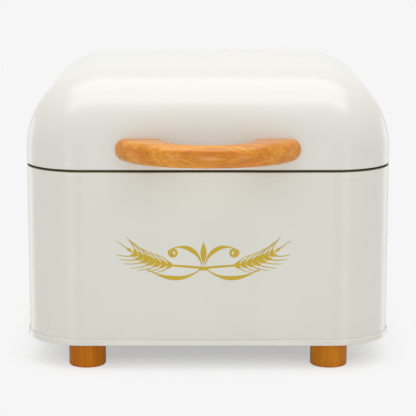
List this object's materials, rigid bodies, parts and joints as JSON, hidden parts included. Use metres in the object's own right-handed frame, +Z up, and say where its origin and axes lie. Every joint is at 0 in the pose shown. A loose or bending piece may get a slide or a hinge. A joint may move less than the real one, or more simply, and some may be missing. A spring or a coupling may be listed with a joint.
{
  "type": "bread box",
  "caption": "Free-standing sheet-steel bread box: straight rounded body, hinged domed lid with a wooden bow handle, rolled base rim and short round wooden feet.",
  "frame": {"origin": "on the plane the feet stand on, midway between the two sides and midway between the handle's front and the hinges' back", "axes": "+Z up; the front, with the handle, faces -Y; +X to the right seen from the front"},
  "size_m": [0.3328, 0.3513, 0.2688],
  "materials": {
    "body_coat": "satin powder coat",
    "base_coat": "satin powder coat",
    "lid_coat": "satin powder coat",
    "hinge_coat": "satin powder coat",
    "handle_beech": "stained beech, clear satin lacquer",
    "foot_beech": "stained beech, clear satin lacquer",
    "screw_steel": "zinc plated",
    "pin_steel": "zinc plated"
  },
  "bodies": {
    "body": {"body_wall": "body_coat", "base_pan": "base_coat", "foot_screws": "screw_steel", "foot_front_left": "foot_beech", "foot_front_right": "foot_beech", "foot_rear_left": "foot_beech", "foot_rear_right": "foot_beech", "hinge_body_leaf_left": "hinge_coat", "hinge_body_leaf_right": "hinge_coat", "hinge_pin_left": "pin_steel", "hinge_pin_right": "pin_steel"},
    "lid": {"lid_shell": "lid_coat", "handle": "handle_beech", "handle_screws": "screw_steel", "hinge_lid_leaf_left": "hinge_coat", "hinge_lid_leaf_right": "hinge_coat"}
  },
  "joints": [
    {"name": "lid_hinge", "type": "hinge", "parent": "body", "child": "lid", "pos_m": [0, 0.1679, 0.1809], "axis": [-1, 0, 0], "range_deg": [0, 100]}
  ]
}
